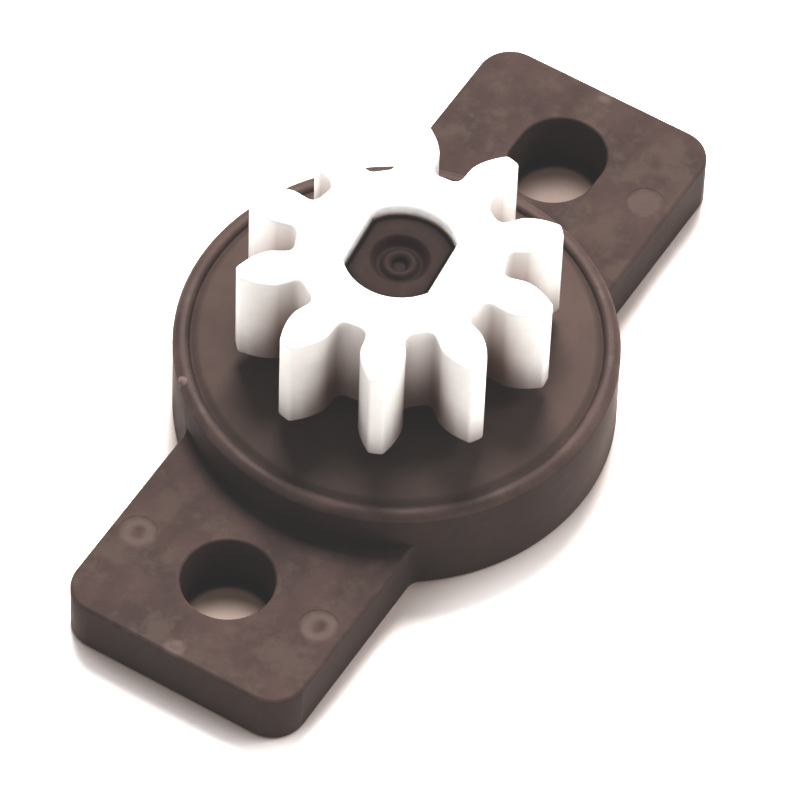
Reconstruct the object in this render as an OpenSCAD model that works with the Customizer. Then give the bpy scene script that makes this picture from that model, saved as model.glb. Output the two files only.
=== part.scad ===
// Small disc-type rotary damper with a ten-tooth pinion.
// A flat housing with two screw ears holds a shear disc in silicone grease.
// The pinion turns the disc, and the thin film of grease slows it.
// The origin is on the shaft's axis, on the underside of the housing.

/* [Mounting plate] */
// Distance from the round screw hole to the slot
screw_spacing = 14; // [13.4:0.1:20]
// Distance from a screw's centre to the end of its ear
ear_end = 2.35; // [2:0.05:4]
// Width of the plate
plate_width = 5.9; // [5:0.1:7]
// Thickness of the plate
plate_thickness = 1.4; // [1:0.1:2]
// Radius of the plate's corners
corner_radius = 0.8; // [0.2:0.1:1.6]
// Fillet between the plate's long sides and the round body
junction_radius = 0.5; // [0.1:0.1:1]
// Diameter of the round screw hole, and width of the slot
screw_hole_d = 2.1; // [1.6:0.1:2.6]
// How much longer the slot is than it is wide
slot_travel = 0.4; // [0.1:0.1:0.8]
// Diameter of the ejector-pin marks on the ears
ejector_d = 0.9; // [0.5:0.1:1]
// Distance from an ejector mark's edge to the plate's long side
ejector_margin = 0.15; // [0.05:0.05:0.5]
// Diameter of the gate mark at the end of each ear
gate_d = 0.4; // [0.2:0.05:0.5]
// Distance from a gate mark's edge to the end of its ear
gate_margin = 0.1; // [0.04:0.02:0.3]
// Depth of the ejector and gate marks
mark_depth = 0.04; // [0.02:0.01:0.1]

/* [Housing] */
// Outside diameter of the round body
body_d = 10; // [9:0.1:11]
// Radius of the rim's outer edge
rim_round = 0.2; // [0.05:0.05:0.3]
// Width of the rim around the cover
rim_width = 0.38; // [0.34:0.02:0.6]
// Width of the ledge that the cover rests on
ledge_width = 0.55; // [0.3:0.05:0.8]
// Thickness of the floor under the shear disc
floor_thickness = 0.5; // [0.4:0.05:1]
// Diameter of the pivot pin on the floor
pivot_d = 1; // [0.6:0.05:1.4]
// Height of the pivot pin above the floor
pivot_height = 0.8; // [0.4:0.05:1.2]

/* [Cover] */
// Thickness of the part that fills the rim
flange_thickness = 0.7; // [0.4:0.05:1.2]
// Depth of the plug below the flange
plug_depth = 0.46; // [0.3:0.02:0.8]
// Width of the weld groove between the cover and the rim
weld_groove = 0.1; // [0.06:0.01:0.25]
// Depth of the weld groove
weld_groove_depth = 0.1; // [0.05:0.01:0.3]
// Diameter of the bearing collar under the pinion
collar_d = 4; // [3.4:0.1:4.6]

/* [Rotor] */
// Thickness of the shear disc
disc_thickness = 0.5; // [0.3:0.05:0.9]
// Diameter of the shaft
shaft_d = 2.5; // [2.3:0.05:2.8]
// Distance across the shaft's two flats
shaft_flats = 2; // [1.6:0.05:2.2]
// How far the shaft's end lies below the pinion's top
shaft_recess = 0.28; // [0.1:0.02:0.6]
// Chamfer around the shaft's end
shaft_chamfer = 0.1; // [0.04:0.01:0.15]
// Diameter of the dish in the shaft's end
dish_d = 1.34; // [1.1:0.02:1.5]
// Depth of the dish
dish_depth = 0.22; // [0.16:0.02:0.4]
// Outside diameter of the gate ring inside the dish
gate_ring_d = 0.84; // [0.7:0.02:0.9]
// Width of the gate ring
gate_ring_width = 0.2; // [0.1:0.02:0.28]
// Height of the gate ring
gate_ring_height = 0.1; // [0.04:0.02:0.14]
// Turn of the rotor and the pinion at rest, in degrees
rest_angle = 6; // [0:0.5:36]

/* [Shaft seal] */
// Thickness of the O-ring's section
seal_section = 0.6; // [0.4:0.02:0.8]

/* [Pinion] */
// Number of teeth
teeth = 10; // [9:1:16]
// Module, the pitch diameter for each tooth
gear_module = 0.6; // [0.55:0.01:0.8]
// Pressure angle of the involute flanks
pressure_angle = 20; // [16:0.5:24]
// Profile shift in modules
profile_shift = 0.06; // [0:0.01:0.2]
// Tooth depth below the pitch circle in modules
dedendum = 1.2; // [1.1:0.01:1.3]
// Radius along the edges of a tooth's tip
tip_radius = 0.12; // [0.06:0.01:0.14]
// Fillet at the root of a tooth
root_radius = 0.2; // [0.1:0.01:0.24]
// Width of the teeth along the shaft
gear_width = 2.68; // [2:0.02:4]
// Height of the pinion's underside above the cover
gear_lift = 0.45; // [0.3:0.01:1]

/* [Clearances] */
// Grease gap above and below the shear disc
shear_gap = 0.12; // [0.08:0.01:0.25]
// Grease gap around the disc's edge
edge_gap = 0.16; // [0.08:0.01:0.3]
// Gap between the grease and the rotor
film_clearance = 0.02; // [0.01:0.01:0.04]
// Radial gap between the shaft and the cover's bore
shaft_clearance = 0.04; // [0.02:0.01:0.08]
// Radial gap between the pivot pin and its socket
pivot_clearance = 0.04; // [0.02:0.01:0.08]
// Gap above the pivot pin's end
pivot_end_gap = 0.1; // [0.05:0.01:0.2]
// Radial gap between the cover and the housing
cover_clearance = 0.02; // [0.01:0.01:0.05]
// Gap between the O-ring and the shaft, and between the O-ring and its seat
seal_clearance = 0.02; // [0.01:0.01:0.05]
// Gap between the pinion's bore and the shaft
bore_clearance = 0.02; // [0.01:0.01:0.05]
// Running gap between the collar and the pinion
collar_gap = 0.15; // [0.1:0.01:0.25]

/* [Hidden] */
$fn = 96;

// Overlap of a cutter past the face that it cuts
cut = 0.1;
// Steps along a tooth's flank and along each of its small arcs
flank_steps = 7;
arc_steps = 4;

dark_plastic = [0.25, 0.21, 0.2];
white_plastic = [0.95, 0.94, 0.92];
seal_rubber = [0.12, 0.11, 0.11];
clear_grease = [0.85, 0.87, 0.88];

// Radii, from the outside of the body to its axis
body_r = body_d / 2;
cover_bore_r = body_r - rim_width;
cover_r = cover_bore_r - cover_clearance;
chamber_r = cover_bore_r - ledge_width;
disc_r = chamber_r - edge_gap;
shaft_r = shaft_d / 2;
pivot_r = pivot_d / 2;
seal_centre_r = shaft_r + seal_clearance + seal_section / 2;
seal_seat_r = seal_centre_r + seal_section / 2 + seal_clearance;

// Heights, from the underside of the housing to the pinion's top
cover_thickness = flange_thickness + plug_depth;
disc_z = floor_thickness + shear_gap;
disc_top_z = disc_z + disc_thickness;
cover_z = disc_top_z + shear_gap;
seal_seat_z = cover_z + seal_section + 2 * seal_clearance;
seal_z = seal_seat_z - seal_clearance - seal_section / 2;
ledge_z = cover_z + plug_depth;
rim_z = cover_z + cover_thickness;
gear_z = rim_z + gear_lift;
collar_z = gear_z - collar_gap;
gear_top_z = gear_z + gear_width;
shaft_top_z = gear_top_z - shaft_recess;

// Places on the plate
screw_x = screw_spacing / 2;
plate_length = screw_spacing + 2 * ear_end;
ejector_y = plate_width / 2 - ejector_margin - ejector_d / 2;
gate_x = plate_length / 2 - gate_margin - gate_d / 2;
// Corners of the plate that an ejector pin marks: the end and the side, as signs
ejector_corners = [[-1, -1], [-1, 1], [1, -1]];

// Pinion circles, and a tooth's half angle on the base circle
pitch_r = gear_module * teeth / 2;
base_r = pitch_r * cos(pressure_angle);
outside_r = pitch_r + gear_module * (1 + profile_shift);
root_r = pitch_r - gear_module * (dedendum - profile_shift);
degrees = 180 / PI;
function involute_angle(a) = tan(a) * degrees - a;
pitch_half_angle = (PI / 2 + 2 * profile_shift * tan(pressure_angle)) / teeth * degrees;
base_half_angle = pitch_half_angle + involute_angle(pressure_angle);

function polar(r, a) = [r * cos(a), r * sin(a)];
function mirrored(points) = [for (p = points) [p.x, -p.y]];
function reversed(points) = [for (i = [len(points) - 1:-1:0]) points[i]];
function arc(centre, r, from, to) =
    [for (i = [0:arc_steps]) centre + polar(r, from + (to - from) * i / arc_steps)];

// Half of one tooth on the +Y side of its centre line, from the root to the tip.
// The root fillet meets a radial flank, the involute starts on the base circle,
// and the arc at the tip lies on an involute that is set in by its radius.
function half_tooth() =
    let (
        fillet_r = root_r + root_radius,
        fillet_a = base_half_angle + asin(root_radius / fillet_r),
        fillet = arc(polar(fillet_r, fillet_a), root_radius, fillet_a + 180, base_half_angle + 270),
        tip_r = outside_r - tip_radius,
        tip_pressure = acos(base_r / tip_r),
        tip_a = base_half_angle - tip_radius / base_r * degrees - involute_angle(tip_pressure),
        roll = tan(tip_pressure) + tip_radius / base_r,
        flank = [
            for (i = [0:flank_steps - 1])
                let (t = roll * i / flank_steps)
                polar(base_r * sqrt(1 + t * t), base_half_angle - t * degrees + atan(t))
        ],
        tip = arc(polar(tip_r, tip_a), tip_radius, tip_a + 90 - tip_pressure, tip_a)
    )
    concat(fillet, flank, tip);

function turned(points, a) =
    [for (p = points) [p.x * cos(a) - p.y * sin(a), p.x * sin(a) + p.y * cos(a)]];

// The teeth stand half a pitch from +X, so that a gap lies in line with the flats
module pinion_outline() {
    half = half_tooth();
    tooth = concat(mirrored(half), [polar(outside_r, 0)], reversed(half));
    polygon([for (k = [0:teeth - 1]) each turned(tooth, (k + 0.5) * 360 / teeth)]);
}

module double_d(d, flats) {
    intersection() {
        circle(d = d);
        square([d + cut, flats], center = true);
    }
}

module rounded_plate() {
    inner_length = plate_length - 2 * corner_radius;
    inner_width = plate_width - 2 * corner_radius;
    square([plate_length, inner_width], center = true);
    square([inner_length, plate_width], center = true);
    for (x = [-1, 1], y = [-1, 1])
        translate([x * inner_length / 2, y * inner_width / 2])
            circle(corner_radius);
}

// Fills the four corners between the plate's long sides and the round body.
// Each fillet's arc runs on into the body, so that the two join in one solid.
module junction_fillets() {
    centre_y = plate_width / 2 + junction_radius;
    centre = [sqrt(pow(body_r + junction_radius, 2) - pow(centre_y, 2)), centre_y];
    body_a = atan2(centre.y, centre.x);
    fillet = arc(centre, junction_radius, 270, body_a + 180);
    inside = [[0, 0], [centre.x, 0]];
    outline = concat(inside, [for (i = [0:arc_steps - 1]) fillet[i]], [polar(body_r - cut, body_a)]);
    for (x = [0, 1], y = [0, 1])
        mirror([x, 0])
            mirror([0, y])
                polygon(outline);
}

module plate() {
    linear_extrude(plate_thickness) {
        rounded_plate();
        junction_fillets();
    }
}

// Section of the round body before it is hollowed, with a rounded outer edge at the rim
module body_section() {
    square([body_r, rim_z - rim_round]);
    square([body_r - rim_round, rim_z]);
    translate([body_r - rim_round, rim_z - rim_round])
        circle(rim_round);
}

module chamber() {
    translate([0, 0, floor_thickness])
        cylinder(r = chamber_r, h = rim_z);
    translate([0, 0, ledge_z])
        cylinder(r = cover_bore_r, h = rim_z);
}

module screw_holes() {
    through = plate_thickness + 2 * cut;
    translate([-screw_x, 0, -cut])
        cylinder(d = screw_hole_d, h = through);
    translate([screw_x, 0, -cut])
        linear_extrude(through) {
            square([slot_travel, screw_hole_d], center = true);
            for (side = [-1, 1])
                translate([side * slot_travel / 2, 0])
                    circle(d = screw_hole_d);
        }
}

module moulding_marks() {
    translate([0, 0, plate_thickness - mark_depth]) {
        for (corner = ejector_corners)
            translate([corner.x * screw_x, corner.y * ejector_y])
                cylinder(d = ejector_d, h = mark_depth + cut);
        for (x = [-1, 1])
            translate([x * gate_x, 0])
                cylinder(d = gate_d, h = mark_depth + cut);
    }
}

module housing() {
    color(dark_plastic) {
        difference() {
            union() {
                plate();
                rotate_extrude()
                    body_section();
            }
            chamber();
            screw_holes();
            moulding_marks();
        }
        cylinder(d = pivot_d, h = floor_thickness + pivot_height);
    }
}

module cover() {
    color(dark_plastic)
        difference() {
            union() {
                translate([0, 0, cover_z])
                    cylinder(r = chamber_r - cover_clearance, h = cover_thickness);
                translate([0, 0, ledge_z])
                    cylinder(r = cover_r, h = flange_thickness - weld_groove_depth);
                translate([0, 0, ledge_z])
                    cylinder(r = cover_r - weld_groove, h = flange_thickness);
                translate([0, 0, ledge_z])
                    cylinder(d = collar_d, h = collar_z - ledge_z);
            }
            translate([0, 0, cover_z - cut])
                cylinder(r = shaft_r + shaft_clearance, h = gear_top_z);
            translate([0, 0, cover_z - cut])
                cylinder(r = seal_seat_r, h = seal_seat_z - cover_z + cut);
        }
}

// Half section of the shaft's end, with its chamfer, dish and gate ring
module shaft_section() {
    dish_r = dish_d / 2;
    ring_r = gate_ring_d / 2;
    pit_r = ring_r - gate_ring_width;
    dish_z = shaft_top_z - dish_depth;
    ring_z = dish_z + gate_ring_height;
    polygon([
        [0, disc_z],
        [shaft_r, disc_z],
        [shaft_r, shaft_top_z - shaft_chamfer],
        [shaft_r - shaft_chamfer, shaft_top_z],
        [dish_r, shaft_top_z],
        [dish_r, dish_z],
        [ring_r, dish_z],
        [ring_r, ring_z],
        [pit_r, ring_z],
        [pit_r, dish_z],
        [0, dish_z]
    ]);
}

module rotor() {
    socket_r = pivot_r + pivot_clearance;
    socket_z = floor_thickness + pivot_height + pivot_end_gap;
    color(dark_plastic)
        rotate(rest_angle)
            difference() {
                union() {
                    translate([0, 0, disc_z])
                        cylinder(r = disc_r, h = disc_thickness);
                    rotate_extrude()
                        shaft_section();
                }
                cylinder(r = socket_r, h = socket_z);
                for (side = [-1, 1])
                    translate([0, side * (shaft_flats + shaft_d) / 2, (gear_z + gear_top_z) / 2])
                        cube([shaft_d + cut, shaft_d, gear_width], center = true);
            }
}

module shaft_seal() {
    color(seal_rubber)
        rotate_extrude()
            translate([seal_centre_r, seal_z])
                circle(d = seal_section);
}

// The grease wets the chamber and the cover, and wraps around the disc's edge
module damping_grease() {
    color(clear_grease)
        rotate_extrude()
            polygon([
                [pivot_r, floor_thickness],
                [chamber_r, floor_thickness],
                [chamber_r, cover_z],
                [seal_seat_r, cover_z],
                [seal_seat_r, disc_top_z + film_clearance],
                [disc_r + film_clearance, disc_top_z + film_clearance],
                [disc_r + film_clearance, disc_z - film_clearance],
                [pivot_r, disc_z - film_clearance]
            ]);
}

module drive_gear() {
    color(white_plastic)
        rotate(rest_angle)
            translate([0, 0, gear_z])
                linear_extrude(gear_width)
                    difference() {
                        pinion_outline();
                        double_d(shaft_d + 2 * bore_clearance, shaft_flats + 2 * bore_clearance);
                    }
}

housing();
cover();
rotor();
shaft_seal();
damping_grease();
drive_gear();
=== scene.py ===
# Small rotary damper with a white pinion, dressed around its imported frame
import math
import bmesh
import bpy
from mathutils import Matrix, Vector


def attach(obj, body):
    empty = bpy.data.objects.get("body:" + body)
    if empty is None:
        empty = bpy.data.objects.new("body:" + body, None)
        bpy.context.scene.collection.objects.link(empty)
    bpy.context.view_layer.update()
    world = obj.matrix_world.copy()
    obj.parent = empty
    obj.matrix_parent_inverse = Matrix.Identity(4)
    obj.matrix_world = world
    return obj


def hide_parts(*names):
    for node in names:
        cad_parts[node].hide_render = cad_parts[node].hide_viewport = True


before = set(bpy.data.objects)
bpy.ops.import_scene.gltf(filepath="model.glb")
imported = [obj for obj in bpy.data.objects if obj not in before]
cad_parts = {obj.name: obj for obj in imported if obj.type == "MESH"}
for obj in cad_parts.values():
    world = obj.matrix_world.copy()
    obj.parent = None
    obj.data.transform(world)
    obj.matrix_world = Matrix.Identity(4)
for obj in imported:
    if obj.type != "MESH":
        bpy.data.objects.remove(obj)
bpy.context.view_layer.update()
print("frame loaded")

mm = 0.001
fullTurn = 2 * math.pi
zAxis = (0, 0, 1)
same = 0.0005 * mm  # two lengths closer than this count as equal
turnedAngle = 0.6  # an edge that turns by less, in radians, isn't rounded


# camera, at the photograph's view

photoView = {
    "azimuth": -60.158, "elevation": 52.966, "roll": 2.273,
    "target": (-3.328 * mm, -2.051 * mm, 5.280 * mm),
    "distance": 158.84 * mm,
    "lens": 330.48, "sensor": 36.0, "clip": (0.002, 60.0),
}


def addCamera(view):
    azimuth, elevation = math.radians(view["azimuth"]), math.radians(view["elevation"])
    back = Vector((
        math.sin(azimuth) * math.cos(elevation),
        -math.cos(azimuth) * math.cos(elevation),
        math.sin(elevation),
    ))
    right = Vector((math.cos(azimuth), math.sin(azimuth), 0))
    turn = Matrix.Rotation(math.radians(view["roll"]), 3, back)
    right = turn @ right
    up = back.cross(right)
    place = Matrix((right, up, back)).transposed().to_4x4()
    place.translation = Vector(view["target"]) + back * view["distance"]
    data = bpy.data.cameras.new("photoCamera")
    data.lens, data.sensor_width, data.sensor_fit = view["lens"], view["sensor"], "HORIZONTAL"
    data.clip_start, data.clip_end = view["clip"]
    camera = bpy.data.objects.new("photoCamera", data)
    camera.matrix_world = place
    bpy.context.scene.collection.objects.link(camera)
    bpy.context.scene.camera = camera


addCamera(photoView)
print("camera placed")


# node helpers

def addNode(tree, kind, at, values=None, **settings):
    node = tree.nodes.new(kind)
    node.location = at
    for name, value in settings.items():
        setattr(node, name, value)
    for name, value in (values or {}).items():
        node.inputs[name].default_value = value
    return node


def newGroup(name, inputs, outputs):
    tree = bpy.data.node_groups.new(name, "ShaderNodeTree")
    for label, start in inputs.items():
        socket = tree.interface.new_socket(label, in_out="INPUT", socket_type="NodeSocketFloat")
        socket.default_value = start
    for label in outputs:
        tree.interface.new_socket(label, in_out="OUTPUT", socket_type="NodeSocketFloat")
    return tree, addNode(tree, "NodeGroupInput", (-900, 0)), addNode(tree, "NodeGroupOutput", (900, 0))


def addMath(tree, operation, at, first, second=None, third=None, clamp=False):
    node = addNode(tree, "ShaderNodeMath", at, operation=operation, use_clamp=clamp)
    for socket, value in zip(node.inputs, (first, second, third)):
        if value is None:
            continue
        if isinstance(value, (int, float)):
            socket.default_value = value
        else:
            tree.links.new(value, socket)
    return node.outputs[0]


def addRange(tree, at, value, fromMin, fromMax, toMin=0.0, toMax=1.0, smooth=True):
    kind = "SMOOTHSTEP" if smooth else "LINEAR"
    node = addNode(tree, "ShaderNodeMapRange", at, interpolation_type=kind)
    tree.links.new(value, node.inputs["Value"])
    for label, setting in zip(("From Min", "From Max", "To Min", "To Max"), (fromMin, fromMax, toMin, toMax)):
        if isinstance(setting, (int, float)):
            node.inputs[label].default_value = setting
        else:
            tree.links.new(setting, node.inputs[label])
    return node.outputs["Result"]


def addNoise(tree, at, vector, scale, detail, roughness):
    node = addNode(tree, "ShaderNodeTexNoise", at, {"Detail": detail, "Roughness": roughness})
    tree.links.new(vector, node.inputs["Vector"])
    if isinstance(scale, (int, float)):
        node.inputs["Scale"].default_value = scale
    else:
        tree.links.new(scale, node.inputs["Scale"])
    return node.outputs["Fac"]


# fine moulded grain for the bump, and slow clouds for the colour; scales are per metre
def makeGrain():
    inputs = {"Fine Scale": 24000, "Cloud Scale": 480}
    tree, source, sink = newGroup("mouldGrain", inputs, ("Height", "Cloud"))
    place = addNode(tree, "ShaderNodeTexCoord", (-900, 300)).outputs["Object"]
    fine = addNoise(tree, (-600, 300), place, source.outputs["Fine Scale"], 3, 0.6)
    wideScale = addMath(tree, "MULTIPLY", (-700, 80), source.outputs["Fine Scale"], 0.16)
    wide = addNoise(tree, (-500, 80), place, wideScale, 3, 0.55)
    tree.links.new(addMath(tree, "MULTIPLY_ADD", (0, 300), wide, 1.6, fine), sink.inputs["Height"])
    cloud = addNoise(tree, (-500, -200), place, source.outputs["Cloud Scale"], 5, 0.6)
    tree.links.new(addRange(tree, (-200, -200), cloud, 0.3, 0.7), sink.inputs["Cloud"])
    return tree


# light wear where an edge turns, broken up by noise; the lighter edges also serve as a painted glint
def makeEdgeWearGlint():
    tree, source, sink = newGroup("edgeWearGlint", {"Radius": 0.1 * mm, "Break Scale": 3500}, ("WearGlint",))
    rounded = addNode(tree, "ShaderNodeBevel", (-600, 200), samples=6)
    tree.links.new(source.outputs["Radius"], rounded.inputs["Radius"])
    plain = addNode(tree, "ShaderNodeNewGeometry", (-600, 0))
    dot = addNode(tree, "ShaderNodeVectorMath", (-400, 200), operation="DOT_PRODUCT")
    tree.links.new(rounded.outputs["Normal"], dot.inputs[0])
    tree.links.new(plain.outputs["Normal"], dot.inputs[1])
    turned = addRange(tree, (-200, 200), dot.outputs["Value"], 0.995, 0.93)
    place = addNode(tree, "ShaderNodeTexCoord", (-900, -200)).outputs["Object"]
    broken = addNoise(tree, (-500, -200), place, source.outputs["Break Scale"], 5, 0.65)
    patches = addRange(tree, (-200, -200), broken, 0.38, 0.68)
    tree.links.new(addMath(tree, "MULTIPLY", (300, 100), turned, patches), sink.inputs["WearGlint"])
    return tree


# cloudy smears from handling, wider than the grain
def makeSmears():
    tree, source, sink = newGroup("cloudySmears", {"Scale": 900, "Cover": 0.5}, ("Smear",))
    place = addNode(tree, "ShaderNodeTexCoord", (-1100, 0)).outputs["Object"]
    broad = addNoise(tree, (-700, 200), place, source.outputs["Scale"], 4, 0.6)
    closeScale = addMath(tree, "MULTIPLY", (-900, -150), source.outputs["Scale"], 3.3)
    close = addNoise(tree, (-700, -150), place, closeScale, 4, 0.6)
    broad = addMath(tree, "MULTIPLY", (-450, 200), broad, 0.6)
    close = addMath(tree, "MULTIPLY", (-450, -150), close, 0.4)
    both = addMath(tree, "ADD", (-200, 50), broad, close)
    limit = addMath(tree, "ADD", (-200, -250), source.outputs["Cover"], 0.13)
    tree.links.new(addRange(tree, (200, 0), both, source.outputs["Cover"], limit), sink.inputs["Smear"])
    return tree


# shade in narrow gaps, where little light gets in
def makeGapShade():
    tree, source, sink = newGroup("gapShade", {"Reach": 1.2 * mm, "Open": 0.75, "Closed": 0.25}, ("Shade",))
    occlusion = addNode(tree, "ShaderNodeAmbientOcclusion", (-500, 0), samples=8)
    tree.links.new(source.outputs["Reach"], occlusion.inputs["Distance"])
    shade = addRange(tree, (0, 0), occlusion.outputs["AO"], source.outputs["Open"], source.outputs["Closed"])
    tree.links.new(shade, sink.inputs["Shade"])
    return tree


# sparse pale specks of dust and moulding flecks
def makeSpecks():
    tree, source, sink = newGroup("paleSpecks", {"Scale": 2400, "Size": 0.13, "Amount": 0.56}, ("Speck",))
    place = addNode(tree, "ShaderNodeTexCoord", (-900, 200)).outputs["Object"]
    cells = addNode(tree, "ShaderNodeTexVoronoi", (-600, 200), {"Randomness": 1.0}, feature="F1")
    tree.links.new(place, cells.inputs["Vector"])
    tree.links.new(source.outputs["Scale"], cells.inputs["Scale"])
    dots = addRange(tree, (-300, 200), cells.outputs["Distance"], source.outputs["Size"], 0.02)
    patch = addNoise(tree, (-600, -200), place, 700, 3, 0.6)
    limit = addMath(tree, "ADD", (-600, -350), source.outputs["Amount"], 0.12)
    area = addRange(tree, (-300, -200), patch, source.outputs["Amount"], limit)
    tree.links.new(addMath(tree, "MULTIPLY", (300, 0), dots, area), sink.inputs["Speck"])
    return tree


mouldGrain = makeGrain()
edgeWearGlint = makeEdgeWearGlint()
cloudySmears = makeSmears()
gapShade = makeGapShade()
paleSpecks = makeSpecks()
print("node groups made")


def addEffect(tree, group, at, values):
    node = addNode(tree, "ShaderNodeGroup", at, node_tree=group)
    for label, value in values.items():
        node.inputs[label].default_value = value
    return node.outputs


def addBlend(tree, at, factor, first, second):
    node = addNode(tree, "ShaderNodeMix", at, data_type="RGBA")
    tree.links.new(factor, node.inputs["Factor"])
    for socket, value in ((node.inputs[6], first), (node.inputs[7], second)):
        if isinstance(value, tuple):
            socket.default_value = (*value, 1)
        else:
            tree.links.new(value, socket)
    return node.outputs[2]


# a soft ragged spot around a place that repeats on both sides of the part's middle planes
def addSpot(tree, at, spot, scale):
    place = addNode(tree, "ShaderNodeTexCoord", at).outputs["Object"]
    folded = addNode(tree, "ShaderNodeVectorMath", (at[0] + 150, at[1]), operation="ABSOLUTE")
    tree.links.new(place, folded.inputs[0])
    away = addNode(tree, "ShaderNodeVectorMath", (at[0] + 300, at[1]), operation="DISTANCE")
    tree.links.new(folded.outputs["Vector"], away.inputs[0])
    away.inputs[1].default_value = spot["centre"]
    noise = addNoise(tree, (at[0] + 150, at[1] - 200), place, scale, 3, 0.6)
    ragged = addRange(tree, (at[0] + 300, at[1] - 200), noise, 0.3, 0.7, -spot["ragged"], spot["ragged"])
    reach = addMath(tree, "ADD", (at[0] + 450, at[1]), away.outputs["Value"], ragged)
    mask = addRange(tree, (at[0] + 600, at[1]), reach, spot["outer"], spot["inner"])
    if "middle" in spot:  # a ring, plain again in its middle
        ring = addRange(tree, (at[0] + 600, at[1] - 250), reach, spot["middle"] * 0.2, spot["middle"])
        mask = addMath(tree, "MULTIPLY", (at[0] + 800, at[1]), mask, ring)
    return mask


# one moulded plastic: clouded colour, worn edges that are partly a painted glint, smears and specks, with a
# fine grain
def mouldedPlastic(name, look):
    material = bpy.data.materials.new(name)
    material.use_nodes = True
    tree = material.node_tree
    shader = tree.nodes["Principled BSDF"]
    shader.location = (700, 0)
    tree.nodes["Material Output"].location = (1000, 0)
    grain = addEffect(tree, mouldGrain, (-700, 300), look["grain"])
    wearGlint = addEffect(tree, edgeWearGlint, (-700, 50), look["wearGlint"])
    smears = addEffect(tree, cloudySmears, (-700, -150), look["smears"])
    specks = addEffect(tree, paleSpecks, (-700, -350), look["specks"])
    colour = addBlend(tree, (-350, 300), grain["Cloud"], look["dark"], look["light"])
    # lighter turned edges: partly wear, partly a painted glint
    wornGlint = addMath(tree, "MULTIPLY", (-450, 50), wearGlint["WearGlint"], look["wearGlintShare"])
    colour = addBlend(tree, (-100, 250), wornGlint, colour, look["wornGlintColour"])
    smeared = addMath(tree, "MULTIPLY", (-450, -150), smears["Smear"], look["smearShare"])
    colour = addBlend(tree, (100, 200), smeared, colour, look["smearColour"])
    specked = addMath(tree, "MULTIPLY", (-450, -350), specks["Speck"], look["speckShare"])
    colour = addBlend(tree, (300, 150), specked, colour, look["speckColour"])
    if "spot" in look:
        spot = addSpot(tree, (-1200, -800), look["spot"], look["grain"]["Cloud Scale"])
        colour = addBlend(tree, (400, 350), spot, colour, look["spotColour"])
    # painted shade: darker where little open space is around the surface
    if "gaps" in look:
        shade = addEffect(tree, gapShade, (-700, -550), look["gaps"])["Shade"]
        shade = addMath(tree, "MULTIPLY", (-450, -550), shade, look["gapShare"])
        if "gapRise" in look:  # fading with height
            place = addNode(tree, "ShaderNodeTexCoord", (-900, -700)).outputs["Object"]
            split = addNode(tree, "ShaderNodeSeparateXYZ", (-700, -700))
            tree.links.new(place, split.inputs[0])
            low, high, left = (look["gapRise"][key] for key in ("low", "high", "left"))
            fade = addRange(tree, (-450, -700), split.outputs["Z"], low, high, 1.0, left)
            shade = addMath(tree, "MULTIPLY", (-250, -600), shade, fade)
        colour = addBlend(tree, (500, 250), shade, colour, look["gapColour"])
    tree.links.new(colour, shader.inputs["Base Color"])
    rough = addRange(tree, (0, -100), grain["Cloud"], 0.0, 1.0, *look["rough"], smooth=False)
    smoother = addMath(tree, "MULTIPLY", (0, -300), smears["Smear"], look["smearGloss"])
    rough = addMath(tree, "SUBTRACT", (250, -150), rough, smoother, clamp=True)
    tree.links.new(rough, shader.inputs["Roughness"])
    grainSize = {"Strength": look["bump"], "Distance": look["depth"]}
    bump = addNode(tree, "ShaderNodeBump", (400, -350), grainSize)
    tree.links.new(grain["Height"], bump.inputs["Height"])
    tree.links.new(bump.outputs["Normal"], shader.inputs["Normal"])
    for label, value in look["fixed"].items():
        shader.inputs[label].default_value = value
    return material


darkLook = {
    "dark": (0.085, 0.054, 0.048), "light": (0.132, 0.086, 0.077),
    "grain": {"Fine Scale": 22000, "Cloud Scale": 700},
    "wearGlint": {"Radius": 0.1 * mm, "Break Scale": 3200},
    "wearGlintShare": 0.45, "wornGlintColour": (0.22, 0.16, 0.142),
    "smears": {"Scale": 800, "Cover": 0.47}, "smearShare": 0.6, "smearColour": (0.142, 0.103, 0.082),
    "smearGloss": 0.05,
    "specks": {"Scale": 2400, "Size": 0.13, "Amount": 0.56}, "speckShare": 0.3,
    "speckColour": (0.3, 0.235, 0.21),
    "rough": (0.6, 0.72), "bump": 0.5, "depth": 0.006 * mm,
    "fixed": {"IOR": 1.5, "Specular IOR Level": 0.12},
}
housingPlastic = mouldedPlastic("housingPlastic", {
    **darkLook,  # with the pale tear of a gate at each end of the plate
    "spot": {
        "centre": (9.16 * mm, 0, 1.4 * mm), "inner": 0.1 * mm, "outer": 0.3 * mm, "ragged": 0.05 * mm,
    },
    "spotColour": (0.18, 0.132, 0.117),
})
# painted shade: the outer walls take a darker colour than the top
shadedWallPlastic = mouldedPlastic("shadedWallPlastic", {
    **darkLook, "dark": (0.054, 0.034, 0.03), "light": (0.073, 0.046, 0.04), "smearShare": 0.15,
    "smearColour": (0.085, 0.058, 0.05), "wearGlintShare": 0.25,
    "fixed": {**darkLook["fixed"], "Sheen Weight": 0.42, "Sheen Roughness": 0.27,  # paler at a slant
              "Sheen Tint": (1.0, 0.84, 0.76, 1.0)},
})
weldShade = {  # dark in the groove between the cover and the rim
    "gaps": {"Reach": 0.3 * mm, "Open": 0.95, "Closed": 0.55},
    "gapShare": 0.75, "gapColour": (0.03, 0.016, 0.013),
}
coverPlastic = mouldedPlastic("coverPlastic", {
    **darkLook, "dark": (0.124, 0.086, 0.075), "light": (0.154, 0.108, 0.094), "smearShare": 0.3,
    "smearColour": (0.155, 0.112, 0.092), "grain": {"Fine Scale": 24000, "Cloud Scale": 620}, **weldShade,
})
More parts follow.
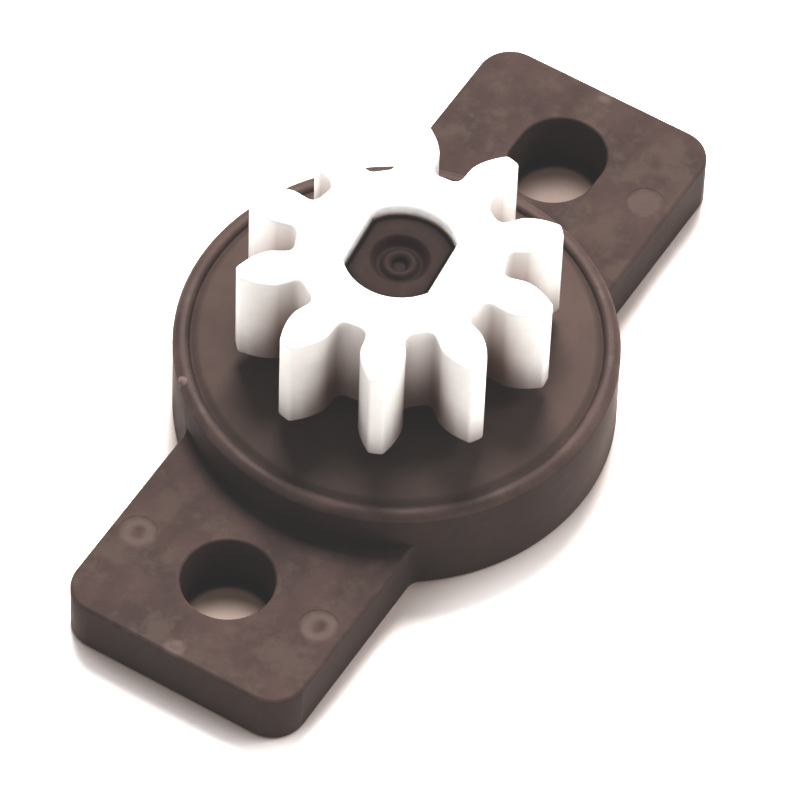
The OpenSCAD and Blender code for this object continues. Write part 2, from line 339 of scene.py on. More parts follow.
# painted shade: darker at the shaft's end beside the bore and in the corners of its dish
rotorPlastic = mouldedPlastic("rotorPlastic", {
    **darkLook, "dark": (0.054, 0.033, 0.028), "light": (0.072, 0.044, 0.039),
    "smearColour": (0.076, 0.05, 0.043), "rough": (0.56, 0.66),
    "fixed": {"IOR": 1.5, "Specular IOR Level": 0.09},
    "gaps": {"Reach": 0.45 * mm, "Open": 0.93, "Closed": 0.5},
    "gapShare": 0.85, "gapColour": (0.012, 0.007, 0.006),
})
discSpot = {
    "centre": (7 * mm, 2.35 * mm, 1.4 * mm), "inner": 0.3 * mm, "outer": 0.47 * mm, "ragged": 0.07 * mm,
}
discLook = {
    **darkLook, "grain": {"Fine Scale": 7000, "Cloud Scale": 2600}, "depth": 0.014 * mm,
    "spot": discSpot, "spotColour": (0.148, 0.106, 0.094),
}
discPlastic = mouldedPlastic("discPlastic", discLook)
ringPlastic = mouldedPlastic("ringPlastic", {
    **discLook, "spot": {**discSpot, "ragged": 0.035 * mm, "middle": 0.26 * mm},
    "spotColour": (0.17, 0.124, 0.11),
})
# paler colour for the small nib on the rim
paleNibPlastic = mouldedPlastic("paleNibPlastic", {
    **darkLook, "dark": (0.21, 0.153, 0.135), "light": (0.29, 0.22, 0.197),
    "smearColour": (0.29, 0.22, 0.197),
})
# the rim's top: glossier, and painted a little lighter as a highlight
glossyRimHighlight = mouldedPlastic("glossyRimHighlight", {
    **darkLook, **weldShade, "dark": (0.099, 0.064, 0.057), "light": (0.146, 0.096, 0.086),
    "rough": (0.46, 0.58), "fixed": {"IOR": 1.5, "Specular IOR Level": 0.16},
})
gearLook = {
    **darkLook, "dark": (0.88, 0.868, 0.85), "light": (0.92, 0.912, 0.9),
    "grain": {"Fine Scale": 16000, "Cloud Scale": 380},
    "wearGlintShare": 0.25, "wornGlintColour": (0.9, 0.89, 0.87),
    "smearShare": 0.1, "smearColour": (0.74, 0.715, 0.685),
    "speckShare": 0.12, "speckColour": (0.5, 0.46, 0.42),
    "rough": (0.36, 0.46), "bump": 0.4, "depth": 0.004 * mm,
    "fixed": {"IOR": 1.48, "Specular IOR Level": 0.3, "Subsurface Weight": 0.3,
              "Subsurface Radius": (1.0, 0.95, 0.9), "Subsurface Scale": 0.4 * mm},
}
# bore wall: painted light as a whiter copy of the pinion's plastic, with painted shade near the shaft's end
boreLitShadedPlastic = mouldedPlastic("boreLitShadedPlastic", {
    **gearLook, "dark": (0.975, 0.945, 0.92), "light": (0.98, 0.955, 0.93), "smearShare": 0.0,
    "fixed": {**gearLook["fixed"], "Subsurface Weight": 1.0, "Subsurface Radius": (1.0, 1.0, 1.0),
              "Subsurface Scale": 1.0 * mm},
    "gaps": {"Reach": 0.5 * mm, "Open": 0.75, "Closed": 0.3},
    "gapShare": 0.85, "gapColour": (0.42, 0.3, 0.25),
    "gapRise": {"low": 5.24 * mm, "high": 5.45 * mm, "left": 0.15},
})
gearPlastic = mouldedPlastic("gearPlastic", {
    **gearLook,  # painted shade between the teeth, darkest at their foot
    "gaps": {"Reach": 1.8 * mm, "Open": 0.95, "Closed": 0.3},
    "gapShare": 0.9, "gapColour": (0.17, 0.066, 0.034),
    "gapRise": {"low": 3.2 * mm, "high": 5.5 * mm, "left": 0.3},
})
sealRubber = mouldedPlastic("sealRubber", {
    **darkLook, "dark": (0.018, 0.018, 0.018), "light": (0.03, 0.03, 0.03), "smearShare": 0.0,
    "rough": (0.55, 0.7),
})
greaseFilm = mouldedPlastic("greaseFilm", {
    **darkLook, "dark": (0.6, 0.62, 0.62), "light": (0.72, 0.74, 0.74), "wearGlintShare": 0.0, "smearShare": 0.0,
    "speckShare": 0.0, "rough": (0.1, 0.2), "depth": 0.003 * mm,
})
print("materials made")


# mesh helpers

def sweepPoint(bm, point, centre, angle, steps):
    made = bmesh.ops.spin(bm, geom=[point], cent=(*centre, 0), axis=zAxis, angle=angle, steps=steps)
    return next(part for part in made["geom_last"] if isinstance(part, bmesh.types.BMVert))


def runPoint(bm, point, x, y):
    made = bmesh.ops.extrude_vert_indiv(bm, verts=[point])
    made["verts"][0].co = (x, y, 0)
    return made["verts"][0]


def addLoop(bm, x, y, radius, segments):
    turn = Matrix.Translation((x, y, 0)) @ Matrix.Rotation(math.pi / segments, 4, "Z")
    return bmesh.ops.create_circle(bm, cap_ends=False, segments=segments, radius=radius, matrix=turn)["verts"]


def loopEdges(points):
    return list({edge for point in points for edge in point.link_edges})


# pushes a face to a new radius about its own centre, and to a new height
def stepFace(bm, face, radius, height):
    face = bmesh.ops.extrude_discrete_faces(bm, faces=[face])["faces"][0]
    centre = face.calc_center_bounds()
    share = radius / (face.verts[0].co - centre).length
    bmesh.ops.scale(bm, vec=(share, share, 1), verts=face.verts, space=Matrix.Translation(-centre))
    bmesh.ops.translate(bm, vec=(0, 0, height - centre.z), verts=face.verts)
    return face


# turned edges whose two ends pass the test; bends out count as positive
def pickEdges(bm, test, bend=1):
    picked = []
    for edge in bm.edges:
        if len(edge.link_faces) == 2 and edge.calc_face_angle_signed(0) * bend > turnedAngle:
            if all(test(point.co) for point in edge.verts):
                picked.append(edge)
    return picked


def roundEdges(bm, edges, width, segments):
    bmesh.ops.bevel(
        bm, geom=edges, offset=width, offset_type="OFFSET", segments=segments, profile=0.5,
        affect="EDGES", clamp_overlap=False, material=-1,
    )


def atHeight(point, height):
    return abs(point.z - height) < same


def atRadius(point, radius):
    return abs(math.hypot(point.x, point.y) - radius) < 4 * same


def faceOutwards(bm):
    bmesh.ops.recalc_face_normals(bm, faces=bm.faces)
    if bm.calc_volume(signed=True) < 0:
        bmesh.ops.reverse_faces(bm, faces=bm.faces)


def finishPiece(bm, name, body, node, materials, sharpAngle=40):
    faceOutwards(bm)
    mesh = bpy.data.meshes.new(name)
    bm.to_mesh(mesh)
    openEdges = sum(len(edge.link_faces) != 2 for edge in bm.edges)
    print(name, len(bm.faces), "faces,", openEdges, "open edges")
    bm.free()
    for material in materials:
        mesh.materials.append(material)
    mesh.shade_smooth()
    mesh.set_sharp_from_angle(angle=math.radians(sharpAngle))
    piece = bpy.data.objects.new(name, mesh)
    bpy.context.scene.collection.objects.link(piece)
    even = piece.modifiers.new("evenNormals", "WEIGHTED_NORMAL")
    even.keep_sharp = True
    even.weight = 100
    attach(piece, body)
    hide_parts(node)
    return piece


# housing: plate with two ears, round cup and rim

housing = {
    "endX": 9.35 * mm, "sideY": 2.95 * mm, "plateTop": 1.4 * mm, "corner": 0.8 * mm, "cornerSteps": 10,
    "bodyRadius": 5 * mm, "junction": 0.5 * mm, "junctionAngle": 15, "junctionSteps": 8,
    "earSteps": 16, "flankSteps": 60,
    "screwX": 7 * mm, "holeRadius": 1.05 * mm, "slotShift": 0.2 * mm, "holeSteps": 72,
    "ejectorCorners": ((-1, -1), (-1, 1), (1, -1)), "ejectorY": 2.35 * mm, "ejectorRadius": 0.45 * mm,
    "ejectorSteps": 40, "ejectorDepth": 0.009 * mm, "pitRadius": 0.21 * mm, "pitDepth": 0.01 * mm,
    "pitTaper": 0.6, "gateX": 9.08 * mm, "gateRadius": 0.17 * mm, "gateSteps": 24,
    "gateDepth": 0.005 * mm, "gateRise": 0.016 * mm, "gateFoot": 0.85, "gateCrown": 0.6,
    "rimTop": 2.4 * mm, "rimInner": 4.62 * mm, "ledgeTop": 1.7 * mm, "ledgeInner": 4.07 * mm,
    "floorTop": 0.5 * mm, "pivotRadius": 0.5 * mm, "pivotTop": 1.3 * mm,
    "rimRound": 0.2 * mm, "rimInnerRound": 0.13 * mm, "plateRound": 0.085 * mm, "underRound": 0.05 * mm,
    "holeRound": 0.07 * mm, "markRound": 0.005 * mm, "gateRound": 0.003 * mm,
    "nibAngle": 136.6, "nibReach": 0.15 * mm, "nibHeight": 0.08 * mm, "nibPatch": 1.6, "nibBorder": 5,
    "flatAngle": 0.2, "wallReach": 4.9 * mm, "holeReach": 1.5 * mm, "wallSlope": 0.3, "rimSlope": 0.5,
}
housingSurfaces = {
    "top": housingPlastic, "disc": discPlastic, "ring": ringPlastic,
    "wall": shadedWallPlastic, "rim": glossyRimHighlight, "paleNib": paleNibPlastic,
}
surfaceIndex = {name: index for index, name in enumerate(housingSurfaces)}


# where the plate's side runs into the round body: the fillet's centre and its meeting point, at +X and +Y
def junctionPlace(size):
    radius, fillet = size["bodyRadius"], size["junction"]
    angle = math.radians(size["junctionAngle"])
    reach = math.sqrt(radius ** 2 + fillet ** 2 + 2 * radius * fillet * math.cos(angle))
    centreY = size["sideY"] + fillet
    centre = Vector((math.sqrt(reach ** 2 - centreY ** 2), centreY))
    lean = math.acos((radius ** 2 + reach ** 2 - fillet ** 2) / (2 * radius * reach))
    meetAngle = math.atan2(centre.y, centre.x) - lean
    meet = Vector((radius * math.cos(meetAngle), radius * math.sin(meetAngle)))
    return centre, meet, meetAngle


def makeHousing(size):
    bm = bmesh.new()
    radius, corner = size["bodyRadius"], size["corner"]
    junction, meet, meetAngle = junctionPlace(size)
    sweep = math.atan2(junction.x - meet.x, junction.y - meet.y)
    cornerX, cornerY = size["endX"] - corner, size["sideY"] - corner
    for side in (1, -1):
        before = set(bm.edges)
        point = bm.verts.new((side * meet[0], meet[1], 0))
        point = sweepPoint(bm, point, (side * junction.x, junction.y), side * sweep, size["junctionSteps"])
        point = runPoint(bm, point, side * cornerX, size["sideY"])
        point = sweepPoint(bm, point, (side * cornerX, cornerY), -side * math.pi / 2, size["cornerSteps"])
        point = runPoint(bm, point, side * size["endX"], -cornerY)
        point = sweepPoint(bm, point, (side * cornerX, -cornerY), -side * math.pi / 2, size["cornerSteps"])
        point = runPoint(bm, point, side * junction.x, -size["sideY"])
        point = sweepPoint(bm, point, (side * junction.x, -junction.y), side * sweep, size["junctionSteps"])
        point = sweepPoint(bm, point, (0, 0), side * 2 * meetAngle, size["earSteps"])
        bmesh.ops.remove_doubles(bm, verts=bm.verts, dist=same)
        opening = addLoop(bm, side * size["screwX"], 0, size["holeRadius"], size["holeSteps"])
        if side == 1:  # the slot is the round hole drawn apart along the plate
            for vert in opening:
                vert.co.x += math.copysign(size["slotShift"], vert.co.x - size["screwX"])
        loops = [addLoop(bm, side * size["gateX"], 0, size["gateRadius"], size["gateSteps"])]
        for end, flank in size["ejectorCorners"]:
            if end == side:
                x, y = end * size["screwX"], flank * size["ejectorY"]
                loops.append(addLoop(bm, x, y, size["ejectorRadius"], size["ejectorSteps"]))
        edges = [edge for edge in bm.edges if edge not in before]
        bmesh.ops.triangle_fill(bm, use_beauty=True, edges=edges, normal=zAxis)
        for loop in loops:
            inLoop = set(loop)
            bmesh.ops.contextual_create(bm, geom=[e for e in loopEdges(loop) if inLoop.issuperset(e.verts)])
    for side in (1, -1):
        point = bm.verts.new((side * meet[0], side * meet[1], 0))
        sweepPoint(bm, point, (0, 0), math.pi - 2 * meetAngle, size["flankSteps"])
    bmesh.ops.remove_doubles(bm, verts=bm.verts, dist=same)
    rim = [edge for edge in bm.edges if all(atRadius(vert.co, radius) for vert in edge.verts)]
    bmesh.ops.contextual_create(bm, geom=rim)
    made = bmesh.ops.extrude_face_region(bm, geom=bm.faces[:])
    raised = [part for part in made["geom"] if isinstance(part, bmesh.types.BMVert)]
    bmesh.ops.translate(bm, vec=(0, 0, size["plateTop"]), verts=raised)

    # cup, from the body's outer wall to the pivot pin on its floor
    top = [face for face in bm.faces if all(atHeight(vert.co, size["plateTop"]) for vert in face.verts)]
    face = max(top, key=lambda part: len(part.verts))
    steps = (
        (radius, size["rimTop"]), (size["rimInner"], size["rimTop"]), (size["rimInner"], size["ledgeTop"]),
        (size["ledgeInner"], size["ledgeTop"]), (size["ledgeInner"], size["floorTop"]),
        (size["pivotRadius"], size["floorTop"]), (size["pivotRadius"], size["pivotTop"]),
    )
    for stepRadius, height in steps:
        face = stepFace(bm, face, stepRadius, height)

    # moulding marks: shallow ejector discs, sunk in the middle on the front ear, and torn gates
    for face in [part for part in top if part.is_valid]:
        if len(face.verts) == size["ejectorSteps"]:
            floor = size["plateTop"] - size["ejectorDepth"]
            front = face.verts[0].co.x < 0
            face = stepFace(bm, face, size["ejectorRadius"], floor)
            face.material_index = surfaceIndex["disc"]
            if front:
                face.material_index = surfaceIndex["ring"]
                face = stepFace(bm, face, size["pitRadius"], floor)
                face = stepFace(bm, face, size["pitRadius"] * size["pitTaper"], floor - size["pitDepth"])
        elif len(face.verts) == size["gateSteps"]:
            floor = size["plateTop"] - size["gateDepth"]
            face = stepFace(bm, face, size["gateRadius"], floor)
            face = stepFace(bm, face, size["gateRadius"] * size["gateFoot"], floor)
            face = stepFace(bm, face, size["gateRadius"] * size["gateCrown"], floor + size["gateRise"])
    flat = math.radians(size["flatAngle"])
    bmesh.ops.dissolve_limit(bm, angle_limit=flat, verts=bm.verts, edges=bm.edges, delimit={"MATERIAL"})
    faceOutwards(bm)
    return bm


def roundHousing(bm, size):
    plateTop, radius = size["plateTop"], size["bodyRadius"]
    holes = [(side * size["screwX"], 0) for side in (1, -1)]
    ejectors = [(end * size["screwX"], flank * size["ejectorY"]) for end, flank in size["ejectorCorners"]]
    gates = [(side * size["gateX"], 0) for side in (1, -1)]

    def near(point, places, reach):
        return any(math.hypot(point.x - x, point.y - y) < reach for x, y in places)

    def inHole(point):
        return near(point, holes, size["holeRadius"] + size["slotShift"] + 10 * same)

    def inEjector(point):
        return near(point, ejectors, size["ejectorRadius"] + 10 * same)

    def inGate(point):
        return near(point, gates, size["gateRadius"] + 10 * same)

    def atOutline(point):
        return atHeight(point, plateTop) and not (inHole(point) or inEjector(point) or inGate(point))

    rounds = (  # which edges, how wide and in how many steps
        (lambda p: atHeight(p, size["rimTop"]) and atRadius(p, radius), size["rimRound"], 7),
        (lambda p: atHeight(p, size["rimTop"]) and atRadius(p, size["rimInner"]), size["rimInnerRound"], 5),
        (lambda p: atHeight(p, plateTop) and inHole(p), size["holeRound"], 4),
        (lambda p: atHeight(p, 0) and inHole(p), size["underRound"], 2),
        (lambda p: atHeight(p, plateTop) and inEjector(p), size["markRound"], 2),
        (lambda p: atHeight(p, plateTop) and inGate(p), size["gateRound"], 2),
        (lambda p: atHeight(p, 0) and not inHole(p), size["underRound"], 2),
        (atOutline, size["plateRound"], 4),
    )
    for test, width, segments in rounds:
        roundEdges(bm, pickEdges(bm, test), width, segments)


# small raised nib on the rim's rounded edge, in a paler colour
def addNib(bm, size):
    angle = math.radians(size["nibAngle"])
    out = Vector((math.cos(angle), math.sin(angle), 0))
    lean = (out + Vector(zAxis)).normalized()
    middle = out * (size["bodyRadius"] - size["rimRound"]) + Vector((0, 0, size["rimTop"] - size["rimRound"]))
    tip = middle + lean * size["rimRound"]
    reach = size["nibReach"]

    def isNear(face, share):
        return (face.calc_center_median() - tip).length < share * reach

    patch = [face for face in bm.faces if isNear(face, size["nibPatch"])]
    edges = list({edge for face in patch for edge in face.edges})
    bmesh.ops.subdivide_edges(bm, edges=edges, cuts=3, use_grid_fill=True)
    border = [face for face in bm.faces if len(face.verts) > 4 and isNear(face, size["nibBorder"])]
    bmesh.ops.triangulate(bm, faces=border, ngon_method="BEAUTY")
    for vert in bm.verts:
        share = (vert.co - tip).length / reach
        if share < 1:
            vert.co += lean * size["nibHeight"] * (1 - share ** 2) ** 2
    for face in bm.faces:
        if all((vert.co - tip).length < reach for vert in face.verts):
            face.material_index = surfaceIndex["paleNib"]


# the outer walls are smoother than the top and painted darker as shade, and the rim's top is polished by the
# welding and painted a little lighter as a highlight
def markShadedWallsAndRim(bm, size):
    for face in bm.faces:
        middle = face.calc_center_median()
        beyond = math.hypot(middle.x, middle.y) > size["wallReach"]
        outside = beyond and math.hypot(abs(middle.x) - size["screwX"], middle.y) > size["holeReach"]
        if outside and abs(face.normal.z) < size["wallSlope"]:
            face.material_index = surfaceIndex["wall"]
        elif middle.z > size["rimTop"] - size["rimRound"] and face.normal.z > size["rimSlope"]:
            face.material_index = surfaceIndex["rim"]


housingMesh = makeHousing(housing)
roundHousing(housingMesh, housing)
markShadedWallsAndRim(housingMesh, housing)
addNib(housingMesh, housing)
finishPiece(housingMesh, "housing_moulding", "housing", "housing",
            housingSurfaces.values())


# cover: one turned section

cover = {
    "section": (
        (1.89, 1.24), (4.05, 1.24), (4.05, 1.70), (4.615, 1.70), (4.615, 2.25), (4.618, 2.29), (4.54, 2.295),
        (4.47, 2.36), (4.39, 2.40), (2.0, 2.40), (2.0, 2.70), (1.29, 2.70), (1.29, 1.88), (1.89, 1.88),
    ),
    "steps": 160, "collarTop": (10, 11), "collarRound": 0.05 * mm, "collarBase": 9, "collarFoot": 0.08 * mm,
}


def makeCover(size):
    bm = bmesh.new()
    points = [bm.verts.new((r * mm, 0, z * mm)) for r, z in size["section"]]
    lines = [bm.edges.new((point, points[i - 1])) for i, point in enumerate(points)]
    bmesh.ops.spin(bm, geom=points + lines, cent=(0, 0, 0), axis=zAxis, angle=fullTurn, steps=size["steps"],
                   use_merge=True)
    bmesh.ops.remove_doubles(bm, verts=bm.verts, dist=same)
    faceOutwards(bm)

    def cornerEdges(corner, bend):
        r, z = size["section"][corner]
        return pickEdges(bm, lambda p: atRadius(p, r * mm) and atHeight(p, z * mm), bend)

    for corner in size["collarTop"]:
        roundEdges(bm, cornerEdges(corner, 1), size["collarRound"], 4)
    roundEdges(bm, cornerEdges(size["collarBase"], -1), size["collarFoot"], 3)
    return bm


finishPiece(makeCover(cover), "cover_disc", "housing", "cover", [coverPlastic])


# rotor: shear disc and shaft with two flats

rotor = {
    "shaftRadius": 1.25 * mm, "flatY": 1.0 * mm, "shoulderZ": 2.85 * mm, "topZ": 5.25 * mm, "steps": 96,
    "dishRadius": 0.7 * mm, "dishWall": 0.22 * mm, "dishDepth": 0.22 * mm, "dishSteps": 64, "dishRings": 34,
    "ringRadius": 0.31 * mm, "ringReach": 0.17 * mm, "ringHeight": 0.075 * mm,
    "centreRadius": 0.22 * mm, "centreWall": 0.1 * mm, "centreDepth": 0.08 * mm,
    "discRadius": 3.91 * mm, "discTop": 1.12 * mm, "discUnder": 0.62 * mm, "socketRadius": 0.54 * mm,
    "socketTop": 1.4 * mm, "restAngle": 6, "endRound": 0.12 * mm,
}


def softShare(share):
    share = min(max(share, 0), 1)
    return share * share * (3 - 2 * share)


# the shaft's end: a shallow dish with a low ring around its sunk centre
def dishHeight(size, radius):
    wall = softShare((size["dishRadius"] - radius) / size["dishWall"])
    ring = softShare(1 - abs(radius - size["ringRadius"]) / size["ringReach"])
    centre = softShare((size["centreRadius"] - radius) / size["centreWall"])
    return size["topZ"] - size["dishDepth"] * wall + size["ringHeight"] * ring - size["centreDepth"] * centre


def makeRotor(size):
    bm = bmesh.new()
    shoulder = Matrix.Translation((0, 0, size["shoulderZ"]))
    bmesh.ops.create_circle(bm, cap_ends=True, segments=size["steps"], radius=size["shaftRadius"],
                            matrix=shoulder)
    for side in (1, -1):
        bmesh.ops.bisect_plane(bm, geom=bm.verts[:] + bm.edges[:] + bm.faces[:], dist=same,
                               plane_co=(0, side * size["flatY"], 0), plane_no=(0, 1, 0))
    middle = max(bm.faces, key=lambda part: part.calc_area())
    outside = [edge for edge in bm.edges if len(edge.link_faces) == 1]
    # shaft above the shoulder
    face = bmesh.ops.extrude_discrete_faces(bm, faces=[middle])["faces"][0]
    bmesh.ops.translate(bm, vec=(0, 0, size["topZ"] - size["shoulderZ"]), verts=face.verts)
    roundEdges(bm, list(face.edges), size["endRound"], 3)
    level = [part for part in bm.faces if all(atHeight(vert.co, size["topZ"]) for vert in part.verts)]
    face = max(level, key=lambda part: part.calc_area())
    around = list(face.edges)
    bmesh.ops.delete(bm, geom=[face], context="FACES_ONLY")
    turn = Matrix.Translation((0, 0, size["topZ"]))
    dish = bmesh.ops.create_circle(bm, cap_ends=False, segments=size["dishSteps"], radius=size["dishRadius"],
                                   matrix=turn)["verts"]
    ring = loopEdges(dish)
    bmesh.ops.triangle_fill(bm, use_beauty=True, edges=around + ring, normal=zAxis)
    face = bmesh.ops.contextual_create(bm, geom=ring)["faces"][0]
    for ring in range(1, size["dishRings"]):
        radius = size["dishRadius"] * (1 - ring / size["dishRings"])
        face = stepFace(bm, face, radius, dishHeight(size, radius))
    # shaft below the shoulder, disc and pivot socket
    lower = bmesh.ops.extrude_edge_only(bm, edges=outside)["geom"]
    down = [part for part in lower if isinstance(part, bmesh.types.BMVert)]
    bmesh.ops.translate(bm, vec=(0, 0, size["discTop"] - size["shoulderZ"]), verts=down)
    loop = [part for part in lower if isinstance(part, bmesh.types.BMEdge)]
    face = bmesh.ops.contextual_create(bm, geom=loop)["faces"][0]
    for radius, height in (
        (size["discRadius"], size["discTop"]), (size["discRadius"], size["discUnder"]),
        (size["socketRadius"], size["discUnder"]), (size["socketRadius"], size["socketTop"]),
    ):
        face = stepFace(bm, face, radius, height)
    faceOutwards(bm)
    turn = Matrix.Rotation(math.radians(size["restAngle"]), 3, "Z")
    bmesh.ops.rotate(bm, cent=(0, 0, 0), matrix=turn, verts=bm.verts)
    return bm


finishPiece(makeRotor(rotor), "rotor_shaft", "rotor", "rotor", [rotorPlastic])


# pinion: the frame's own tooth outline, with its edges rounded

pinion = {
    "underZ": 2.85 * mm, "topZ": 5.53 * mm, "boreReach": 1.4 * mm, "flatAngle": 0.4,
    "toothRound": 0.07 * mm, "boreRound": 0.06 * mm,
}


def makePinion(size):
    bm = bmesh.new()
    bm.from_mesh(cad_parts["drive_gear"].data)
    bmesh.ops.remove_doubles(bm, verts=bm.verts, dist=same)
    flat = math.radians(size["flatAngle"])
    bmesh.ops.dissolve_limit(bm, angle_limit=flat, verts=bm.verts, edges=bm.edges)
    for height in (size["underZ"], size["topZ"]):
        level = lambda p: abs(p.z - height) < 4 * same
        outside = lambda p: math.hypot(p.x, p.y) > size["boreReach"]
        roundEdges(bm, pickEdges(bm, lambda p: level(p) and outside(p)), size["toothRound"], 3)
        roundEdges(bm, pickEdges(bm, lambda p: level(p) and not outside(p)), size["boreRound"], 2)
    # the bore's faces take the bore material with its painted light and shade
    for face in bm.faces:
        if all(math.hypot(vert.co.x, vert.co.y) < size["boreReach"] for vert in face.verts):
            face.material_index = 1
    return bm


finishPiece(makePinion(pinion), "pinion_teeth", "rotor", "drive_gear",
            [gearPlastic, boreLitShadedPlastic])

for node, material in (("shaft_seal", sealRubber), ("damping_grease", greaseFilm)):
    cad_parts[node].data.materials.clear()
    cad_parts[node].data.materials.append(material)
print("pieces made")


# floor and studio light

studio = {
    "floorReach": 4.0, "floorDark": (0.86, 0.825, 0.805), "floorLight": (0.9, 0.868, 0.85),
    # the far colours paint the shadow at each screw hole's far side; the lit places paint shade under the
    # plate and light through the holes
    "floorDrop": 0.01 * mm, "farShadowFloor": (0.05, 0.037, 0.033), "farShadowGlow": (0.004, 0.002, 0.0015),
    "floorRough": 0.8, "floorShine": 0.1, "floorClouds": 60, "shadedFade": 0.2,
    "shadedReach": 2.2 * mm, "litReach": 0.97 * mm, "litSoft": 0.18 * mm,
    "litPlaces": (
        {"x": -7.17 * mm, "y": -0.1 * mm, "colour": (0.49, 0.422, 0.382)},
        {"x": 6.97 * mm, "y": -0.06 * mm, "colour": (0.325, 0.275, 0.248)},
    ),
    # glow of the table top, dimmed near the part as painted shade
    "glow": (1.0, 0.985, 0.975), "glowShade": (0.1, 0.06, 0.045), "glowStrength": 0.85,
    "poolReach": 60 * mm, "awayFloor": (0.1, 0.097, 0.095), "poolRings": (
        {"fade": (10 * mm, 17 * mm), "glow": (0.95, 0.94, 0.932)},
        {"fade": (16 * mm, 45 * mm), "glow": (0.56, 0.552, 0.547)},
    ),
    "contact": {"Reach": 2.6 * mm, "Open": 0.88, "Closed": 0.46},
    "worldColour": (1.0, 0.99, 0.98), "worldStrength": 0.2, "contrast": 0.6, "veil": 0.1,
    "lookAt": (0, 0, 2 * mm),
    "lights": {
        "softbox": {"tilt": 32, "turn": 30, "distance": 0.5, "size": 0.21, "power": 4.2},
        "rightRear": {"tilt": 52, "turn": -45, "distance": 0.5, "size": 0.2, "power": 1.0},
        "rightFill": {"tilt": 80, "turn": -100, "distance": 0.5, "size": 0.3, "power": 0.3},
        "leftFill": {"tilt": 80, "turn": 160, "distance": 0.5, "size": 0.3, "power": 0.46},
    },
}


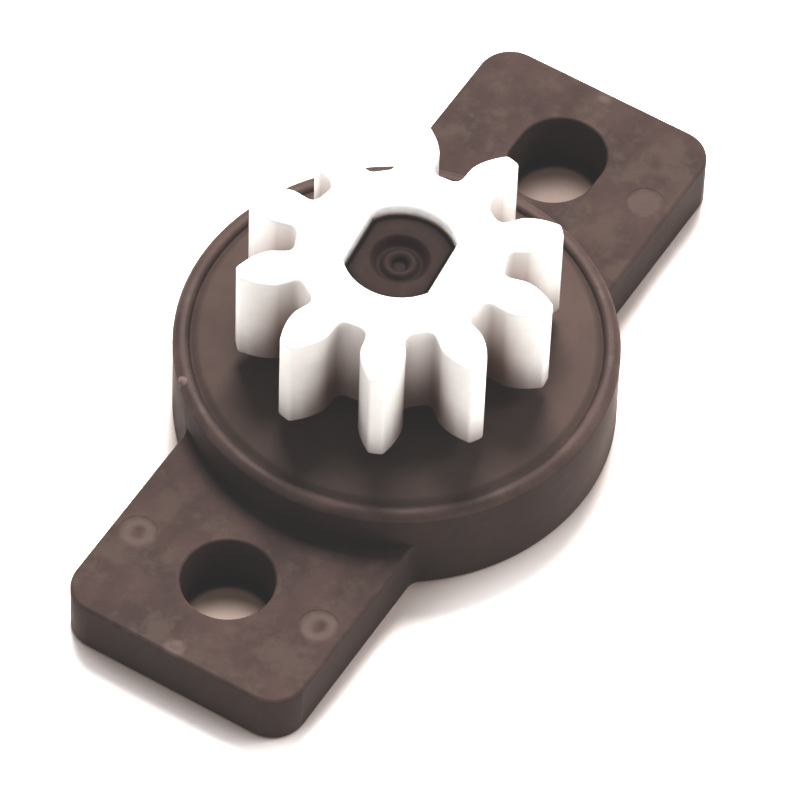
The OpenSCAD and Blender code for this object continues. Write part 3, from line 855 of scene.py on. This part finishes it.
def addFloor(look):
    bm = bmesh.new()
    bmesh.ops.create_grid(bm, x_segments=8, y_segments=8, size=look["floorReach"],
                          matrix=Matrix.Translation((0, 0, -look["floorDrop"])))
    mesh = bpy.data.meshes.new("paleFloor")
    bm.to_mesh(mesh)
    bm.free()
    material = bpy.data.materials.new("paleFloor")
    material.use_nodes = True
    tree = material.node_tree
    shader = tree.nodes["Principled BSDF"]
    shader.inputs["Roughness"].default_value = look["floorRough"]
    shader.inputs["Specular IOR Level"].default_value = look["floorShine"]
    place = addNode(tree, "ShaderNodeTexCoord", (-800, 0)).outputs["Object"]
    cloud = addNoise(tree, (-500, 0), place, look["floorClouds"], 3, 0.5)
    colour = addBlend(tree, (-200, 0), cloud, look["floorDark"], look["floorLight"])
    # the table top glows like a light table, and painted shade dims its glow where the part stands on it
    shade = addEffect(tree, gapShade, (-500, 400), look["contact"])["Shade"]
    glow = addBlend(tree, (0, 400), shade, look["glow"], look["glowShade"])
    for row, lit in enumerate(look["litPlaces"]):  # painted shade under the plate, painted light through the screw holes, and a painted shadow at each hole's far side
        level = -250 - 300 * row
        mapped = addNode(tree, "ShaderNodeMapping", (-600, level))
        wide = look["shadedReach"]
        mapped.inputs["Location"].default_value = (-lit["x"] / wide, -lit["y"] / wide, 0)
        mapped.inputs["Scale"].default_value = (1 / wide,) * 3
        tree.links.new(place, mapped.inputs["Vector"])
        ball = addNode(tree, "ShaderNodeTexGradient", (-400, level), gradient_type="SPHERICAL")
        tree.links.new(mapped.outputs["Vector"], ball.inputs["Vector"])
        spot = addRange(tree, (-200, level), ball.outputs["Fac"], 0.0, look["shadedFade"])
        colour = addBlend(tree, (0, level), spot, colour, lit["colour"])
        edge = 1 - look["litReach"] / wide
        soft = look["litSoft"] / wide / 2
        dim = addRange(tree, (0, level - 150), ball.outputs["Fac"], edge + soft, edge - soft)
        dim = addMath(tree, "MULTIPLY", (200, level), spot, dim)
        colour = addBlend(tree, (400, level), dim, colour, look["farShadowFloor"])
        glow = addBlend(tree, (200 + 200 * row, 400), dim, glow, look["farShadowGlow"])
    # painted falloff of light: away from the part the table is painted pale grey for the camera, while its
    # light on the part stays even
    mapped = addNode(tree, "ShaderNodeMapping", (-600, 700))
    mapped.inputs["Scale"].default_value = (1 / look["poolReach"],) * 3
    tree.links.new(place, mapped.inputs["Vector"])
    pool = addNode(tree, "ShaderNodeTexGradient", (-400, 700), gradient_type="SPHERICAL")
    tree.links.new(mapped.outputs["Vector"], pool.inputs["Vector"])
    seen = addNode(tree, "ShaderNodeLightPath", (-400, 950)).outputs["Is Camera Ray"]
    for row, ring in enumerate(look["poolRings"]):
        start, end = (1 - reach / look["poolReach"] for reach in ring["fade"])
        away = addRange(tree, (-200, 700 + 250 * row), pool.outputs["Fac"], start, end, smooth=row == 0)
        away = addMath(tree, "MULTIPLY", (0, 700 + 250 * row), away, seen)
        colour = addBlend(tree, (600 + 200 * row, 100), away, colour, look["awayFloor"])
        glow = addBlend(tree, (600 + 200 * row, 400), away, glow, ring["glow"])
    tree.links.new(colour, shader.inputs["Base Color"])
    tree.links.new(glow, shader.inputs["Emission Color"])
    # seen from below, the table lets the part's underside show
    clear = addNode(tree, "ShaderNodeBsdfTransparent", (1300, -200))
    side = addNode(tree, "ShaderNodeNewGeometry", (1300, 200))
    either = addNode(tree, "ShaderNodeMixShader", (1550, 0))
    tree.links.new(side.outputs["Backfacing"], either.inputs[0])
    tree.links.new(shader.outputs[0], either.inputs[1])
    tree.links.new(clear.outputs[0], either.inputs[2])
    tree.links.new(either.outputs[0], tree.nodes["Material Output"].inputs["Surface"])
    shader.inputs["Emission Strength"].default_value = look["glowStrength"]
    mesh.materials.append(material)
    floor = bpy.data.objects.new("paleFloor", mesh)
    bpy.context.scene.collection.objects.link(floor)


def addLight(name, tilt, turn, distance, size, power, lookAt):
    data = bpy.data.lights.new(name, "AREA")
    data.shape, data.size, data.energy = "DISK", size, power
    light = bpy.data.objects.new(name, data)
    tilt, turn = math.radians(tilt), math.radians(turn)
    back = Vector((math.sin(tilt) * math.cos(turn), math.sin(tilt) * math.sin(turn), math.cos(tilt)))
    facing = back.to_track_quat("Z", "Y").to_matrix().to_4x4()
    light.matrix_world = Matrix.Translation(Vector(lookAt) + back * distance) @ facing
    light.visible_camera = False
    bpy.context.scene.collection.objects.link(light)


addFloor(studio)
for lightName, lamp in studio["lights"].items():
    addLight(lightName, lookAt=studio["lookAt"], **lamp)
world = bpy.data.worlds.new("studioWorld")
world.use_nodes = True
world.node_tree.nodes["Background"].inputs["Color"].default_value = (*studio["worldColour"], 1)
world.node_tree.nodes["Background"].inputs["Strength"].default_value = studio["worldStrength"]
bpy.context.scene.world = world
shown = bpy.context.scene.view_settings
shown.view_transform = "Standard"
shown.gamma = studio["contrast"]
shown.use_curve_mapping = True
shown.curve_mapping.black_level = (-studio["veil"],) * 3  # stray light from the bright floor lifts the blacks
print("studio lit")
